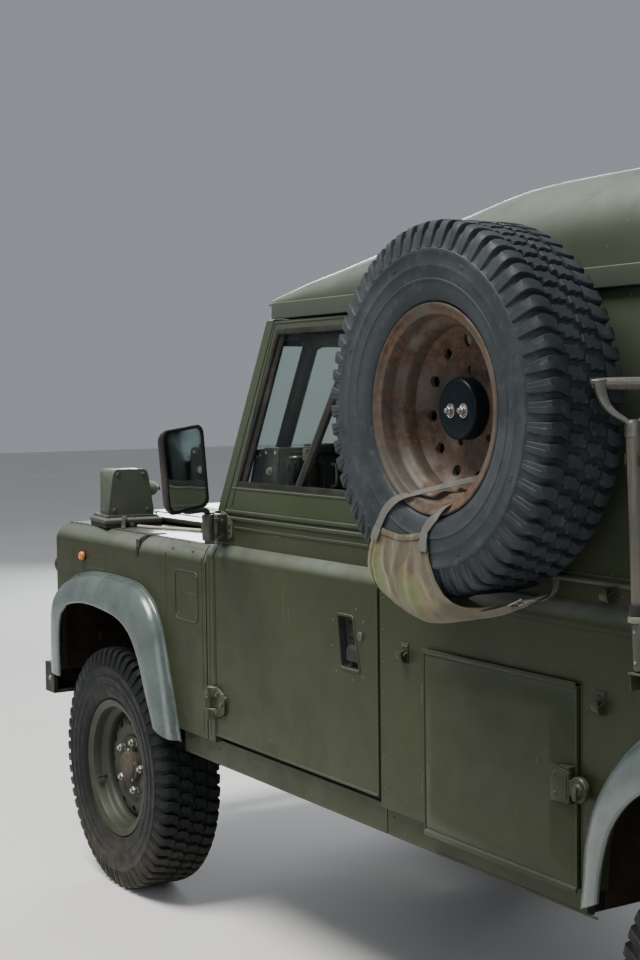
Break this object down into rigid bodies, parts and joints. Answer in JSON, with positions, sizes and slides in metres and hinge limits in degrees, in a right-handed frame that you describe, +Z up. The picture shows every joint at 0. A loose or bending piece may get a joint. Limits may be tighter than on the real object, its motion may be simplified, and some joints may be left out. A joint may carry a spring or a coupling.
{
  "type": "long-wheelbase four-wheel-drive utility car with hard top",
  "caption": "Military four-wheel-drive utility car with a hard top, side-mounted spare wheel, opening doors, bonnet and lockers, and steered, freely turning wheels.",
  "frame": {"origin": "on the ground under the middle of the car's overall box", "axes": "+X forward, +Y to the car's left, +Z up"},
  "size_m": [4.522, 2.1752, 2.09],
  "materials": {
    "body_paint": "satin olive drab paint",
    "chassis_black": "satin black, dusty",
    "axle_grime": "black paint under road dirt",
    "tyre": "matt black",
    "rim_paint": "olive paint, worn",
    "rim_rust": "rusty brown",
    "flare_plastic": "satin moulded plastic",
    "glass": "clear",
    "interior_black": "matt grained",
    "seat_cloth": "woven, dull",
    "canvas": "waxed canvas",
    "lamp_lens": "clear and coloured lenses",
    "wood_shaft": "painted shaft",
    "lead_sheath": "cream sheath",
    "engine_metal": "bare casting"
  },
  "bodies": {
    "body": {"chassis_frame": "chassis_black", "front_bumper": "chassis_black", "tow_hitch": "chassis_black", "front_axle": "axle_grime", "rear_axle": "axle_grime", "suspension": "axle_grime", "transmission": "engine_metal", "engine_block": "engine_metal", "fuel_tank": "chassis_black", "exhaust": "axle_grime", "bulkhead": "body_paint", "front_wings": "body_paint", "front_panel": "body_paint", "lamps": "lamp_lens", "cab_floor": "interior_black", "sills": "body_paint", "windscreen_frame": "body_paint", "windscreen_glass": "glass", "dashboard": "interior_black", "steering_wheel": "interior_black", "seats": "seat_cloth", "roll_cage": "chassis_black", "body_tub": "body_paint", "wheel_arch_flares": "flare_plastic", "hard_top_walls": "body_paint", "roof": "body_paint", "spare_rim": "rim_rust", "spare_tyre": "tyre", "spare_carrier": "chassis_black", "spare_sling": "canvas", "stowed_tool": "wood_shaft", "antenna_box": "body_paint", "antenna_lead": "lead_sheath"},
    "bonnet": {"bonnet": "body_paint"},
    "door_left": {"door_left": "body_paint", "door_glass_left": "glass", "mirror_left": "interior_black"},
    "door_right": {"door_right": "body_paint", "door_glass_right": "glass", "mirror_right": "interior_black"},
    "locker_left": {"locker_door_left": "body_paint"},
    "locker_right": {"locker_door_right": "body_paint"},
    "rear_door": {"rear_door": "body_paint", "rear_glass": "glass"},
    "knuckle_left": {"knuckle_left": "axle_grime"},
    "knuckle_right": {"knuckle_right": "axle_grime"},
    "wheel_front_left": {"rim_front_left": "rim_paint", "tyre_front_left": "tyre"},
    "wheel_front_right": {"rim_front_right": "rim_paint", "tyre_front_right": "tyre"},
    "wheel_rear_left": {"rim_rear_left": "rim_paint", "tyre_rear_left": "tyre"},
    "wheel_rear_right": {"rim_rear_right": "rim_paint", "tyre_rear_right": "tyre"}
  },
  "joints": [
    {"name": "steer_left", "type": "hinge", "parent": "body", "child": "knuckle_left", "pos_m": [1.55, 0.67, 0.393], "axis": [0, 0, 1], "range_deg": [-30, 30]},
    {"name": "steer_right", "type": "hinge", "parent": "body", "child": "knuckle_right", "pos_m": [1.55, -0.67, 0.393], "axis": [0, 0, 1], "range_deg": [-30, 30]},
    {"name": "spin_front_left", "type": "hinge", "parent": "knuckle_left", "child": "wheel_front_left", "pos_m": [1.55, 0.775, 0.393], "axis": [0, 1, 0], "continuous": true},
    {"name": "spin_front_right", "type": "hinge", "parent": "knuckle_right", "child": "wheel_front_right", "pos_m": [1.55, -0.775, 0.393], "axis": [0, 1, 0], "continuous": true},
    {"name": "spin_rear_left", "type": "hinge", "parent": "body", "child": "wheel_rear_left", "pos_m": [-1.244, 0.775, 0.393], "axis": [0, 1, 0], "continuous": true},
    {"name": "spin_rear_right", "type": "hinge", "parent": "body", "child": "wheel_rear_right", "pos_m": [-1.244, -0.775, 0.393], "axis": [0, 1, 0], "continuous": true},
    {"name": "door_left_hinge", "type": "hinge", "parent": "body", "child": "door_left", "pos_m": [0.898, 0.85, 1], "axis": [0, 0, -1], "range_deg": [0, 75]},
    {"name": "door_right_hinge", "type": "hinge", "parent": "body", "child": "door_right", "pos_m": [0.898, -0.85, 1], "axis": [0, 0, 1], "range_deg": [0, 75]},
    {"name": "bonnet_hinge", "type": "hinge", "parent": "body", "child": "bonnet", "pos_m": [0.985, 0, 1.19], "axis": [0, -1, 0], "range_deg": [0, 60]},
    {"name": "locker_left_hinge", "type": "hinge", "parent": "body", "child": "locker_left", "pos_m": [-0.16, 0.846, 0.8], "axis": [0, 0, -1], "range_deg": [0, 100]},
    {"name": "locker_right_hinge", "type": "hinge", "parent": "body", "child": "locker_right", "pos_m": [-0.16, -0.846, 0.8], "axis": [0, 0, 1], "range_deg": [0, 100]},
    {"name": "rear_door_hinge", "type": "hinge", "parent": "body", "child": "rear_door", "pos_m": [-2.116, -0.44, 1.2], "axis": [0, 0, 1], "range_deg": [0, 100]}
  ],
  "couplings": [
    {"joint": "steer_right", "follows": "steer_left", "ratio": 1}
  ]
}
